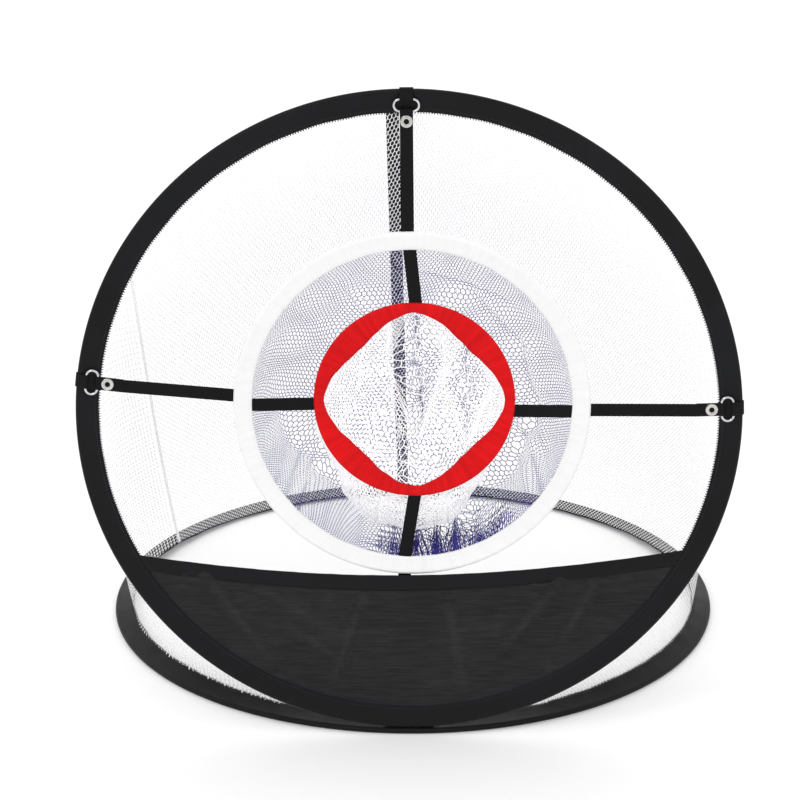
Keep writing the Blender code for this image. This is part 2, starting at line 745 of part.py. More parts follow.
def joining_tape():
    """Tape sewn along the inside of the joint between the hoops, one leaf on each."""
    width, leaf = 0.040, 0.0075
    rise = math.tan(math.radians(BASE_TILT[0] - 5))
    path = [(leaf + 0.0005, 0.0008 + leaf * rise), (0.0012, 0.0008), (0.0006, 0.0014),
            (0.0007 + leaf * math.sin(LEAN), leaf)]
    bm = bmesh.new()
    ribbon(bm, path, 0.0005, width,
           lambda back, side, above: Vector((side, FOLD_AXIS_Y + back, FOLD_AXIS_Z + above)))
    return finish("joining_tape", bm, black_tape, smooth=False)


catch_net()
rear_stay_strap()
joining_tape()
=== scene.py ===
import math
import random

import bmesh
import bpy
import numpy as np
from mathutils import Matrix, Vector


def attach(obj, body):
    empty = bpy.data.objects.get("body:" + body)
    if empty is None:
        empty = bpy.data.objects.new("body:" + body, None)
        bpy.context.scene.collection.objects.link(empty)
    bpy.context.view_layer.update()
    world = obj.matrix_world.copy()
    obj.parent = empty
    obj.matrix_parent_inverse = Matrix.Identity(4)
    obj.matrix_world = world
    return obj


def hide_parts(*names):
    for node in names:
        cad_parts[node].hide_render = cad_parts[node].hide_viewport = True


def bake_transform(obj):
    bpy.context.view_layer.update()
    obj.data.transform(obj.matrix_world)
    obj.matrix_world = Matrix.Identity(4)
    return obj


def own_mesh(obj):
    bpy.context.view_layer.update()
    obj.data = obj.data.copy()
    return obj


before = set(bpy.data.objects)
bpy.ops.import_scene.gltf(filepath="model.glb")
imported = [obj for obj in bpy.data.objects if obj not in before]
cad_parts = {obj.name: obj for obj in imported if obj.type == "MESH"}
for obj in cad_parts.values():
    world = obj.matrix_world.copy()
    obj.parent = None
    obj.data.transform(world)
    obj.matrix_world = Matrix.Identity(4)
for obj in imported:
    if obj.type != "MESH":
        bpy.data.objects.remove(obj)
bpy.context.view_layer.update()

print("frame loaded:", len(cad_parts), "nodes")

# where things are, in metres as in the solids

lean = math.radians(4)
foldPoint = (0, 0.0028, 0.0054)      # where the two hoops are sewn together
baseCentre = (0, 0.2554, 0.0023)
standing = (Matrix.Translation(foldPoint) @ Matrix.Rotation(-lean, 4, "X")
            @ Matrix.Translation((0, -0.0029, 0.2583)))
facing = Matrix.Rotation(math.radians(90), 4, "X")   # a ring's own plane stood up, its top face to the front
standingRing = standing @ facing
lyingRing = Matrix.Translation(baseCentre)
tapeLeaves = math.radians(72)        # where the folded tape leaves its wire

hoop = {"radius": 0.258, "width": 0.018, "tube": 0.0026, "tape": 0.00042, "slit": 0.0005}
middleRing = {"radius": 0.1385, "width": 0.0145, "tube": 0.0024, "tape": 0.0004, "slit": 0.0005,
              "centre": (0.0025, 0.0082)}
innerRing = {"radius": 0.078, "width": 0.0195, "narrow": 0.0078, "tube": 0.0024, "tape": 0.0004,
             "slit": 0.0005, "centre": (0.0044, 0.0124)}
targetPlane = 0.0045     # the target hangs this far behind the hoop's middle plane


def targetPlace(ring):
    return standing @ Matrix.Translation((ring["centre"][0], targetPlane, ring["centre"][1])) @ facing


def easeIn(low, high, value):
    share = np.clip((value - low) / (high - low), 0, 1)
    return share * share * (3 - 2 * share)


def baseTilt(turn):
    # how far the lying sleeve's seam edge is lifted, by the angle from its front
    away = np.abs(np.degrees((turn + math.pi) % math.tau - math.pi))
    return np.radians(12 + 22 * easeIn(14, 50, away) - 34 * easeIn(72, 150, away))


def ripple(turn, slow, fast, seed):
    # an uneven wave round a ring, from -1 to 1, that closes on itself
    draw = random.Random(seed)
    waves = [(draw.randint(slow, fast), draw.uniform(0, math.tau), draw.uniform(0.5, 1)) for _ in range(6)]
    return sum(size * np.sin(count * turn + phase) for count, phase, size in waves) / sum(w[2] for w in waves)


# shader nodes written as expressions

class Wire:
    # a socket that can be added to, taken from and multiplied by others and by numbers
    def __init__(self, look, socket):
        self.look, self.socket = look, socket

    def __add__(self, other):
        return self.look.maths("ADD", self, other)

    def __mul__(self, other):
        return self.look.maths("MULTIPLY", self, other)

    def __sub__(self, other):
        return self.look.maths("SUBTRACT", self, other)


class Look:
    # a material with its nodes
    def __init__(self, name, colour, roughness, metallic=0.0, **fixed):
        self.material = bpy.data.materials.new(name)
        self.material.use_nodes = True
        self.nodes, self.links = self.material.node_tree.nodes, self.material.node_tree.links
        self.shader = self.nodes["Principled BSDF"]
        self.values(self.shader, {"Base Color": (*colour, 1), "Roughness": roughness, "Metallic": metallic})
        names = {"sheen": "Sheen Weight", "haze": "Sheen Roughness", "specular": "Specular IOR Level"}
        self.values(self.shader, {names[name]: value for name, value in fixed.items()})
        self.material.diffuse_color = (*colour, 1)

    def values(self, node, sockets):
        for name, value in sockets.items():
            if isinstance(value, Wire):
                self.links.new(value.socket, node.inputs[name])
            else:
                node.inputs[name].default_value = value

    def add(self, kind, settings=None, sockets=None, out=0):
        node = self.nodes.new("ShaderNode" + kind)
        for name, value in (settings or {}).items():
            setattr(node, name, value)
        self.values(node, sockets or {})
        return Wire(self, node.outputs[out])

    def maths(self, operation, *values):
        return self.add("Math", {"operation": operation}, dict(enumerate(values)))

    def noise(self, scale, detail=2.0, vector=None, stretch=None):
        vector = vector or self.add("TexCoord", out="Object")
        if stretch:
            vector = self.add("Mapping", None, {"Vector": vector, "Scale": stretch})
        return self.add("TexNoise", None, {"Scale": scale, "Detail": detail, "Vector": vector})

    def span(self, value, low, high, first=0.0, last=1.0):
        return self.add("MapRange", {"clamp": True}, {"Value": value, "From Min": low, "From Max": high,
                                                      "To Min": first, "To Max": last})

    def mix(self, share, first, second):
        # plain colours; the first at 0 and the second at 1
        return self.add("Mix", {"data_type": "RGBA"}, {0: share, 6: (*first, 1), 7: (*second, 1)}, 2)

    def set(self, name, wire):
        self.links.new(wire.socket, self.shader.inputs[name])

    def bump(self, height, strength, distance):
        sockets = {"Height": height, "Strength": strength, "Distance": distance}
        self.set("Normal", self.add("Bump", None, sockets))


def clothLook(name, dark, light, roughness, specular, sheen, threads=(0.00042, 0.00042), depth=0.00010,
              slow=9, creaseHighlight=None, pleatShade=0.0):
    # woven cloth on its own flat map in metres: crossed threads, a slow change of tone and rubbed spots
    look = Look(name, light, roughness, sheen=sheen, haze=0.4, specular=specular)
    flat = look.add("UVMap", {"uv_map": "weave"})
    wavy = {"Vector": flat, "Distortion": 0.5, "Detail": 1.0, "Detail Scale": 1.5}
    across, along = (look.add("TexWave", {"bands_direction": direction},
                              dict(wavy, Scale=math.pi / (10 * pitch)))
                     for direction, pitch in zip("XY", threads))
    weave = look.maths("MAXIMUM", across, along)
    tone = look.span(look.noise(slow, 3), 0.35, 0.65)
    fine = look.noise(520, 2)
    rubbed = look.span(look.noise(60, 4), 0.55, 0.75)
    shade = tone * 0.45 + fine * 0.25 + weave * 0.15 + rubbed * 0.25
    if pleatShade:
        # small pleats across the tape, drawn in by its seam; they are also painted into the colour as shade
        pleatsAndShade = look.span(look.noise(1, 2, flat, (170, 22, 1)), 0.35, 0.62)
        # painted shading: the tape's colour turns lighter and darker with its pleats
        shade = shade * 0.55 + pleatsAndShade * pleatShade
    if creaseHighlight:
        # uneven weft threads run across the cloth, and a painted highlight makes its creases paler
        slub = look.span(look.noise(700, 2, stretch=(0.06, 1, 1)), 0.35, 0.75)
        shade = shade * 0.6 + slub * 0.45 + look.add("Attribute", {"attribute_name": creaseHighlight}, out=2)
    look.set("Base Color", look.mix(look.span(shade, 0, 1), dark, light))
    matt = tone + fine * 0.4 - rubbed * 0.5
    look.set("Roughness", look.span(matt, 0, 1.2, roughness - 0.08, roughness + 0.08))
    if pleatShade:
        look.bump(weave * 0.15 + pleatsAndShade, 0.4, depth * 5)
    else:
        look.bump(weave + fine * 0.4, 0.4, depth)
    return look.material


def metalLook(name, colour, roughness, wear=0.62):
    look = Look(name, colour, roughness, 1.0)
    spots = look.noise(700, 3)
    slow = look.noise(90, 2)
    dull = look.span(spots * 0.5 + slow * 0.5, 0.35, 0.7)
    look.set("Base Color", look.mix(dull, colour, tuple(c * wear for c in colour)))
    look.set("Roughness", look.span(dull, 0, 1, roughness * 0.7, roughness * 1.6))
    look.bump(slow, 0.12, 0.0002)
    return look.material


def meshLook(name, dark, light, roughness, sheen, paintedGlow=0.0):
    # knitted threads: the fine noise is the yarn, and a thread can be given a glow of painted light, an
    # emission of its own
    look = Look(name, light, roughness, sheen=sheen, haze=0.4, specular=0.3)
    if paintedGlow:
        look.values(look.shader, {"Emission Color": (1, 1, 1, 1), "Emission Strength": paintedGlow})
    slow = look.span(look.noise(14, 2), 0.3, 0.7)
    yarn = look.noise(1500, 2)
    look.set("Base Color", look.mix(slow * 0.5 + yarn * 0.5, dark, light))
    look.set("Roughness", look.span(yarn, 0.3, 0.7, roughness - 0.07, roughness + 0.07))
    look.bump(yarn, 0.3, 0.00015)
    return look.material


looks = {
    "blackTape": clothLook("black_tape", (0.0035, 0.0036, 0.0042), (0.0095, 0.01, 0.0115), 0.42, 0.14, 0.02),
    "webbing": clothLook("black_webbing", (0.0025, 0.0025, 0.003), (0.007, 0.007, 0.008), 0.55, 0.12, 0.02,
                         (0.0016, 0.0009), 0.00022),
    "apron": clothLook("black_apron_cloth", (0.006, 0.006, 0.0066), (0.03, 0.03, 0.0315), 0.46, 0.14, 0.03,
                       (0.00046, 0.0011), 0.00014, 14, "creaseHighlight"),
    "whiteTape": clothLook("white_tape", (0.9, 0.9, 0.905), (0.95, 0.95, 0.95), 0.6, 0.2, 0.05, pleatShade=0.45),
    "redTape": clothLook("red_tape", (0.54, 0.002, 0.004), (0.84, 0.005, 0.008), 0.5, 0.12, 0.02,
                         pleatShade=0.45),
    # painted light: the white nets and the seam tape glow by emission, 0.12 on the catch net and 0.2 on the
    # inner bag
    "whiteNet": meshLook("white_mesh", (0.94, 0.94, 0.945), (0.97, 0.97, 0.97), 0.5, 0.05, 0.12),
    "pocketNet": meshLook("white_pocket_mesh", (0.95, 0.95, 0.95), (0.98, 0.98, 0.98), 0.5, 0.05, 0.2),
    "blueNet": meshLook("blue_mesh", (0.019, 0.014, 0.165), (0.044, 0.035, 0.31), 0.5, 0.04),
    "blackThread": meshLook("black_thread", (0.004, 0.004, 0.005), (0.012, 0.012, 0.014), 0.45, 0.03),
    "edgeThread": meshLook("dark_blue_thread", (0.006, 0.004, 0.022), (0.014, 0.009, 0.05), 0.45, 0.03),
    "whiteThread": meshLook("white_thread", (0.84, 0.84, 0.845), (0.92, 0.92, 0.92), 0.5, 0.05),
    "redThread": meshLook("red_thread", (0.42, 0.0025, 0.005), (0.62, 0.005, 0.009), 0.5, 0.03),
    "chrome": metalLook("chromed_steel", (0.7, 0.7, 0.72), 0.12),
    "nickel": metalLook("nickelled_eyelet", (0.66, 0.65, 0.62), 0.18),
    "spring": metalLook("spring_steel", (0.3, 0.3, 0.31), 0.35, 0.6),
    "crimp": metalLook("crimp_steel", (0.45, 0.45, 0.46), 0.4, 0.6),
}
print("materials:", len(looks))


# making pieces

def makeMesh(name, bm):
    mesh = bpy.data.meshes.new(name)
    bm.to_mesh(mesh)
    bm.free()
    return mesh


def finishPiece(name, bm, look, body, nodes=(), thickness=0.0, place=None, sharp=50):
    bmesh.ops.recalc_face_normals(bm, faces=bm.faces)
    if place is not None:
        bmesh.ops.transform(bm, matrix=place, verts=bm.verts)
    return finishMesh(name, makeMesh(name, bm), look, body, nodes, thickness, sharp)


def finishMesh(name, mesh, look, body, nodes=(), thickness=0.0, sharp=50):
    mesh.materials.append(looks[look])
    mesh.shade_smooth()
    mesh.set_sharp_from_angle(angle=math.radians(sharp))
    piece = bpy.data.objects.new(name, mesh)
    bpy.context.scene.collection.objects.link(piece)
    if thickness:
        wall = piece.modifiers.new("cloth", "SOLIDIFY")
        wall.thickness, wall.offset = thickness, 0
    if body:
        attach(piece, body)
    if nodes:
        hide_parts(*nodes)
    return piece


def layWeave(bm, spot, around=None):
    # a flat map in metres, for the weave; spot gives (along, across) of a vertex
    layer = bm.loops.layers.uv.new("weave")
    places = {point: spot(point) for point in bm.verts}
    for face in bm.faces:
        marks = [places[loop.vert] for loop in face.loops]
        if around and max(m[0] for m in marks) - min(m[0] for m in marks) > around / 2:
            marks = [(m[0] + around if m[0] < 0 else m[0], m[1]) for m in marks]
        for loop, mark in zip(face.loops, marks):
            loop[layer].uv = mark


def spinRound(bm, geom, steps, angle=math.tau, space=Matrix.Identity(4), copies=False):
    # points and edges swept round the upright axis, or copies of a shape set round it
    bmesh.ops.spin(bm, geom=geom, cent=(0, 0, 0), axis=(0, 0, 1), dvec=(0, 0, 0), angle=angle, space=space,
                   steps=steps, use_merge=not copies, use_normal_flip=False, use_duplicate=copies)


def tapeLine(roundPoints=12, webPoints=7):
    # the folded tape's middle line: (angle round the wire or None, share of the web, side)
    line = [(None, 1 - k / webPoints, 1) for k in range(webPoints)]
    line += [(turn, 0.0, 0) for turn in np.linspace(tapeLeaves, math.tau - tapeLeaves, roundPoints).tolist()]
    line += [(None, (k + 1) / webPoints, -1) for k in range(webPoints)]
    return line


def sleevePoint(ring, turn, angle, web, side, lay):
    # where a point of the folded tape goes: (distance from the ring's centre, height over its plane)
    tilt = lay["tilt"](turn)
    tube = ring["tube"] - ring["tape"] / 2
    if angle is None:
        start = (tube * math.cos(tapeLeaves), side * tube * math.sin(tapeLeaves))
        end = (lay["width"](turn) - ring["tube"], side * (ring["slit"] + ring["tape"]) / 2)
        inward = start[0] + (end[0] - start[0]) * web + lay["waver"](turn) * web
        lift = start[1] + (end[1] - start[1]) * web ** 0.8 + lay["pucker"](turn, web)
    else:
        inward, lift = tube * math.cos(angle), tube * math.sin(angle)
    across = inward * math.cos(tilt) - lift * math.sin(tilt)
    above = inward * math.sin(tilt) + lift * math.cos(tilt)
    return ring["radius"] - ring["tube"] - across, above


def ringSleeve(name, ring, lay, look, body, nodes, place, steps):
    bm = bmesh.new()
    mark = bm.verts.layers.int.new("mark")       # which point of the tape's line a vertex comes from
    line, points, runs = tapeLine(), [], [0.0]
    for k, spot in enumerate(line):
        reach, lift = sleevePoint(ring, 0.0, *spot, lay)
        points.append(bm.verts.new((reach, 0, lift)))
        points[k][mark] = k
        if k:
            runs.append(runs[-1] + (points[k].co - points[k - 1].co).length)
    spinRound(bm, points + [bm.edges.new(pair) for pair in zip(points, points[1:])], steps)
    layWeave(bm, lambda point: (math.atan2(point.co.y, point.co.x) * ring["radius"], runs[point[mark]]),
             math.tau * ring["radius"])
    for point in bm.verts:
        turn = math.atan2(point.co.y, point.co.x)
        reach, lift = sleevePoint(ring, turn, *line[point[mark]], lay)
        point.co = (reach * math.cos(turn), reach * math.sin(turn), max(lift, lay["floor"]))
    return finishPiece(name, bm, look, body, nodes, ring["tape"], place)


def ringStitches(name, ring, lay, look, body, place, stitch):
    # a row of stitches round the seam side; inset puts it on both faces, overEdge wraps it round the edge
    wraps = stitch.get("overEdge")
    count = int(math.tau * (ring["radius"] - ring["width"]) / stitch["spacing"])
    outside = ring["slit"] / 2 + ring["tape"]
    high = 2 * (outside + 0.00012) if wraps else stitch["high"]
    start = ring["radius"]
    bm = bmesh.new()
    bmesh.ops.create_cube(bm, size=1, matrix=Matrix.Translation((start, 0, 0))
                          @ Matrix.Rotation(math.radians(stitch.get("slant", 0)), 4, "Z")
                          @ Matrix.Diagonal((stitch["across"], stitch["along"], high, 1)))
    spinRound(bm, bm.verts[:] + bm.edges[:] + bm.faces[:], count - 1, math.tau * (count - 1) / count,
              copies=True)
    under = set()
    if not wraps:
        copy = bmesh.ops.duplicate(bm, geom=bm.verts[:] + bm.edges[:] + bm.faces[:])
        under = {item for item in copy["geom"] if isinstance(item, bmesh.types.BMVert)}
    for point in bm.verts:
        turn = math.atan2(point.co.y, point.co.x)
        aside = math.hypot(point.co.x, point.co.y) - start
        side = -1 if point in under else 1
        tilt = lay["tilt"](turn)
        web = 1 - stitch.get("inset", 0.0) / (lay["width"](turn) - ring["tube"])
        reach, lift = sleevePoint(ring, turn, None, web, side, lay)
        if wraps:
            # the thread bulges over the edge and lies flat behind it
            other = sleevePoint(ring, turn, None, web, -1, lay)
            reach, lift = (reach + other[0]) / 2, (lift + other[1]) / 2
            over = max(0.0, -aside - wraps * 0.2)
            point.co.z *= 1 - 0.55 * min(1.0, over / (stitch["across"] * 0.3))
        off = point.co.z if wraps else side * (ring["tape"] / 2 + 0.00006) + point.co.z
        reach += aside * math.cos(tilt) + off * math.sin(tilt)
        lift += off * math.cos(tilt) - aside * math.sin(tilt)
        point.co = (reach * math.cos(turn), reach * math.sin(turn), lift)
    return finishPiece(name, bm, look, body, place=place, sharp=80)


lockStitch = {"spacing": 0.0033, "along": 0.0023, "across": 0.0005, "high": 0.00030, "inset": 0.0028}
edgeStitch = {"spacing": 0.0021, "along": 0.0007, "across": 0.0024, "overEdge": 0.0005, "slant": 14}
plainLay = {"tilt": lambda turn: 0.0, "floor": -1.0}
blackLay = dict(plainLay, width=lambda turn: hoop["width"],
                pucker=lambda turn, web: 0.00035 * web * ripple(turn, 24, 90, 3),
                waver=lambda turn: 0.00030 * ripple(turn, 20, 60, 4))
baseLay = dict(blackLay, floor=-0.0020, tilt=lambda turn: baseTilt(turn + math.pi / 2),
               pucker=lambda turn, web: 0.00050 * web * ripple(turn, 24, 90, 5),
               waver=lambda turn: 0.00090 * ripple(turn, 9, 40, 6))
whiteLay = dict(plainLay, width=lambda turn: middleRing["width"],
                pucker=lambda turn, web: 0.00040 * web * ripple(turn, 25, 80, 7),
                waver=lambda turn: 0.0004 * ripple(turn, 12, 40, 8))
redLay = dict(plainLay, width=lambda turn: innerRing["narrow"] + (innerRing["width"] - innerRing["narrow"])
              * np.abs(np.sin(2 * turn)) ** 1.5,
              pucker=lambda turn, web: web * (0.3 + np.abs(np.sin(2 * turn)))
              * (0.0012 * ripple(turn, 6, 26, 9) + 0.0006 * ripple(turn + 0.25 * web, 40, 95, 11)),
              waver=lambda turn: 0.0006 * ripple(turn, 8, 30, 10))

for name, ring, lay, colour, body, place, steps in (
        ("front_hoop", hoop, blackLay, "black", "standing_hoop", standingRing, 520),
        ("base_hoop", hoop, baseLay, "black", "base_hoop", lyingRing, 520),
        ("middle_ring", middleRing, whiteLay, "white", "standing_hoop", targetPlace(middleRing), 360),
        ("inner_ring", innerRing, redLay, "red", "standing_hoop", targetPlace(innerRing), 300)):
    ringSleeve(name + "_tape", ring, lay, colour + "Tape", body, [name + "_sleeve"], place, steps)
    ringStitches(name + "_stitching", ring, lay, colour + "Thread", body, place,
                 dict(lockStitch, inset=0.0018) if colour == "red" else lockStitch)
ringStitches("front_hoop_edging", hoop, blackLay, "edgeThread", "standing_hoop", standingRing, edgeStitch)
ringStitches("base_hoop_edging", hoop, baseLay, "edgeThread", "base_hoop", lyingRing, edgeStitch)
print("sleeves and their stitching")


# netting: a flat lattice of six-sided holes, laid on a surface afterwards

def flatNet(wide, long, pitch, strand, height, inside):
    # strands of a rhombus section; inside says which cells stay, by their middles (arrays x, y);
    # also gives how much cloth it is, holes included
    side = pitch / math.sqrt(3)
    columns, rows = 4 * math.ceil(wide / (2 * pitch)), 4 * math.ceil(long / (6 * side))
    bm = bmesh.new()
    bmesh.ops.create_grid(bm, x_segments=columns, y_segments=rows, size=0.5,
                          matrix=Matrix.Diagonal((columns * pitch / 2, rows * 1.5 * side, 1, 1)))
    bm.faces.ensure_lookup_table()
    low = (-columns * pitch / 4, -rows * 1.5 * side / 2)

    def spot(x, y):
        return round((x - low[0]) / (pitch / 2)), (y - low[1]) / (1.5 * side)

    between = []
    for edge in bm.edges:
        first, second = edge.verts[0].co, edge.verts[1].co
        if abs(first.x - second.x) < pitch / 8 and not edge.is_boundary:
            column, row = spot(first.x, (first.y + second.y) / 2)
            if (column + int(row)) % 2:
                between.append(edge)
    bmesh.ops.dissolve_edges(bm, edges=between)
    middles = np.array([face.calc_center_bounds()[:2] for face in bm.faces]).reshape(-1, 2)
    whole = np.array([len(face.verts) == 6 for face in bm.faces])
    stay = inside(middles[:, 0], middles[:, 1]) & whole
    cloth = int(stay.sum()) * 1.5 * side * pitch
    gone = [face for face, kept in zip(bm.faces, stay) if not kept]
    bmesh.ops.delete(bm, geom=gone, context="FACES")
    for point in bm.verts:
        column, row = spot(point.co.x, point.co.y)
        point.co.y += side / 4 * (-1 if (column + round(row)) % 2 else 1)
        point.co.z = height / 2
    lattice = set(bm.verts)
    root = bm.verts.layers.float_vector.new("root")   # the crossing that each point belongs to
    for point in bm.verts:
        point[root] = (point.co.x, point.co.y, 0)
    cells = bm.faces[:]
    outline = [edge for edge in bm.edges if edge.is_boundary]
    bmesh.ops.inset_individual(bm, faces=cells, thickness=strand / 2, depth=0, use_even_offset=True)
    bmesh.ops.delete(bm, geom=cells, context="FACES_ONLY")
    for point in bm.verts:
        if point not in lattice:
            point.co.z = 0
    rim = bmesh.ops.extrude_edge_only(bm, edges=[edge for edge in outline if edge.is_valid])
    for item in rim["geom"]:
        if isinstance(item, bmesh.types.BMVert):
            item.co.z = 0
    bmesh.ops.mirror(bm, geom=bm.verts[:] + bm.edges[:] + bm.faces[:], matrix=Matrix.Identity(4),
                     merge_dist=1e-6, axis="Z")
    bmesh.ops.recalc_face_normals(bm, faces=bm.faces)
    return makeMesh("net", bm), cloth


def covered(net):
    # the share of the cloth that is thread
    return 1 - (1 - net["strand"] / net["pitch"]) ** 2


def layNet(mesh, surface):
    # surface takes arrays across and along the flat cloth, and gives points; a strand keeps its own width
    # and height where the lattice is drawn together or apart
    flat = np.empty(len(mesh.vertices) * 3, np.float32)
    mesh.vertices.foreach_get("co", flat)
    root = flat.copy()
    if "root" in mesh.attributes:
        mesh.attributes["root"].data.foreach_get("vector", root)
    across, along, _ = root.reshape(-1, 3).astype(float).T
    aside, ahead, height = (flat - root).reshape(-1, 3).astype(float).T
    step = 0.0004

    def unit(way):
        return way / np.maximum(np.linalg.norm(way, axis=1, keepdims=True), 1e-12)

    here = surface(across, along)
    first = unit(surface(across + step, along) - here)
    second = unit(surface(across, along + step) - here)
    normal = unit(np.cross(first, second))
    sums, parts = unit(first + second), unit(first - second)
    first, second = (sums + parts) / math.sqrt(2), (sums - parts) / math.sqrt(2)
    points = here + first * aside[:, None] + second * ahead[:, None] + normal * height[:, None]
    mesh.vertices.foreach_set("co", points.astype(np.float32).ravel())
    mesh.update()


def throughMatrix(matrix, x, y, z):
    points = np.stack([x, y, z], -1)
    table = np.array(matrix)
    return points @ table[:3, :3].T + table[:3, 3]


catchNet = {"sag": 0.016, "pitch": 0.0031, "stretch": 1.8, "shear": -0.5, "strand": 0.00072,
            "height": 0.00032, "tuck": 0.003, "seam": 242, "seamWidth": 0.0024}
leftPanel = dict(catchNet, pitch=0.0047, stretch=1.7, shear=0.0, strand=0.00115)   # its cloth lies crosswise
catchTurns = np.linspace(0, math.tau, 2001)
catchRadius = hoop["radius"] - hoop["width"]
catchSteps = np.hypot(np.diff(catchRadius * np.sin(catchTurns)),
                      np.diff(catchRadius * (1 - np.cos(catchTurns)) / math.sqrt(2)))
catchLengths = np.concatenate([[0], np.cumsum(catchSteps)])


def frontSeam(turn, inward):
    reach = hoop["radius"] - inward
    lift = blackLay["pucker"](turn - math.pi / 2, 0.95)
    return throughMatrix(standing, reach * np.sin(turn), -lift, -reach * np.cos(turn))


def baseSeam(turn, past):
    tilt = baseTilt(turn)
    reach, lift = hoop["width"] - hoop["tube"] + past, baseLay["pucker"](turn - math.pi / 2, 0.95)
    radius = hoop["radius"] - hoop["tube"] - reach * np.cos(tilt) + lift * np.sin(tilt)
    return np.stack([radius * np.sin(turn), baseCentre[1] - radius * np.cos(turn),
                     baseCentre[2] + reach * np.sin(tilt) + lift * np.cos(tilt)], -1)


def catchReach(across):
    # the angle from the foot where the cloth is this far round, and half the way from hoop to hoop there
    turn = np.interp(across + catchLengths[-1] / 2, catchLengths, catchTurns)
    return turn, catchRadius * (1 - np.cos(turn)) / math.sqrt(2)


def catchSurface(across, along):
    # across runs round the hoops from the foot, along from the base hoop to the standing hoop
    turn, reach = catchReach(across)
    share = np.clip(0.5 - along / (2 * np.maximum(reach, 1e-4)), 0, 1)
    beyondFront = np.clip(along - reach, 0, 0.02)
    beyondBase = np.clip(-along - reach, 0, 0.02)
    top = frontSeam(turn, hoop["width"] - beyondFront)
    foot = baseSeam(turn, -beyondBase)
    hang = catchNet["sag"] * 4 * share * (1 - share) * (1 - np.cos(turn)) / 2
    hang += 0.0012 * np.sin(2 * math.pi * share + turn) * np.sin(9 * turn) * np.sin(math.pi * share)
    point = top * (1 - share)[:, None] + foot * share[:, None]
    point[:, 1:] -= 0.75 * hang[:, None]
    return point


def catchPart(name, body, low, high, front, panel):
    half = catchLengths[-1] / 2
    first, last = np.interp(np.radians([low, high]), catchTurns, catchLengths) - half
    pitch, stretch, shear = panel["pitch"], panel["stretch"], panel["shear"]
    side = pitch / math.sqrt(3)
    tall = catchRadius * math.sqrt(2) + 0.02
    turned = panel is leftPanel
    # the lattice is shifted by whole cells, so that neighbouring parts of a panel meet
    steps = (3 * side, pitch * stretch) if turned else (pitch, 3 * side * stretch)
    middle = round((first + last) / 2 / steps[0]) * steps[0]
    shift = shear * middle
    shift += round(((tall / 2 if front else -tall / 2) - shift) / steps[1]) * steps[1]

    def place(x, y):
        return (middle - y, shift + x * stretch) if turned else (middle + x, shift + y * stretch + shear * x)

    def inside(x, y):
        across, along = place(x, y)
        return ((across > first) & (across <= last) & (np.abs(along) < catchReach(across)[1] + panel["tuck"])
                & ((along > 0) == front))

    wide = last - first + 4 * pitch
    long = (tall + 4 * pitch + abs(shear) * wide) / stretch
    size = (long, wide) if turned else (wide, long)
    mesh, cloth = flatNet(*size, pitch, panel["strand"], panel["height"], inside)
    layNet(mesh, lambda x, y: catchSurface(*place(x, y)))
    piece = finishMesh(name, mesh, "whiteNet", body, ["catch_net"])
    print(name, len(mesh.polygons) * 2, "triangles")
    return piece, last - first, cloth * stretch, cloth * stretch * covered(panel)


def netSeam(name, body, front):
    # white tape sewn over the seam between two panels
    across = np.interp(math.radians(catchNet["seam"]), catchTurns, catchLengths) - catchLengths[-1] / 2
    reach = float(catchReach(across)[1]) + 0.001
    bm = bmesh.new()
    bmesh.ops.create_grid(bm, x_segments=2, y_segments=70, size=0.5,
                          matrix=Matrix.Diagonal((catchNet["seamWidth"], reach, 1, 1)))
    mesh = makeMesh(name, bm)
    layNet(mesh, lambda x, y: catchSurface(x + across, y + (reach / 2 if front else -reach / 2)))
    return finishMesh(name, mesh, "whiteNet", body, ["catch_net"], 0.0007)


def flattenToHoop(piece, body):
    # gives the piece its own copy of its mesh; the axis of the hoop it rides with is worked out, but nothing
    # is folded
    axis = standing.to_3x3() @ Vector((0, 1, 0)) if body == "standing_hoop" else Vector((0, 0, 1))
    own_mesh(piece)


for front, body, word in ((True, "standing_hoop", "front"), (False, "base_hoop", "base")):
    seam = netSeam("catch_net_%s_seam" % word, body, front)
    flattenToHoop(seam, body)
    for name, low, high, panel in (("right", 26, 118, catchNet), ("middle", 118, 242, catchNet),
                                   ("left", 242, 334, leftPanel)):
        part = "catch_net_%s_%s" % (word, name)
        piece, across, cloth, area = catchPart(part, body, low, high, front, panel)
        cloth / across
        [seam] if name == "left" else []
        flattenToHoop(piece, body)
print("catch net")


# the net bags

middlePocket = {"ring": middleRing, "radius": 0.1250, "depth": 0.105, "drop": 0.032, "pitch": 0.0031,
                "strand": 0.00053, "height": 0.0004, "wave": 0.0022, "flat": 0.172, "uneven": 0.0007,
                "seeds": (51, 61), "windows": []}
innerPocket = {"ring": innerRing, "depth": 0.076, "drop": 0.055, "belly": (0.092, 0.115, 0.062, 0.0625),
               "pitch": 0.0025, "strand": 0.00087, "height": 0.0004, "wave": 0.0020, "flat": 0.122,
               "tuck": 0.0012, "uneven": 0.0004, "seeds": (52, 71)}
slackNet = {"lowest": -1.37, "wide": 0.45, "high": 0.0082}   # the heap at the foot of the blue bag

# in millimetres, as seen from the front. Folds: (from x, z, to x, z, width, how far it stands out) and how
# strongly the threads gather. Bunches, where slack net lies crumpled: (x, z, half width, half height, how far
# its threads move). Windows, where the small bag's threads stand apart: (x, z, half width, half height)
middlePocket["folds"] = [
    (55, 63, 88, 28, 6.5, 6, 0.70), (88, 28, 98, -30, 6.5, 6, 0.70), (16, 88, 66, 72, 7, 5, 0.65),
    (-52, 70, -40, 48, 5, 4, 0.65), (-112, -16, -100, -55, 13, 0, 0.86), (-100, -55, -64, -90, 13, 0, 0.86),
    (-64, -94, -30, -112, 13, 0, 0.86), (64, -98, 86, -74, 13, 0, 0.88), (86, -74, 104, -26, 13, 0, 0.88),
    (2, 30, 4, -34, 25, 6, 0.90), (43, 2, 42, -40, 23, 6, 0.90), (-22, 36, -13, 4, 9, 4, 0.55),
    (-34, -117, 60, -113, 12, 0, 0.60)]
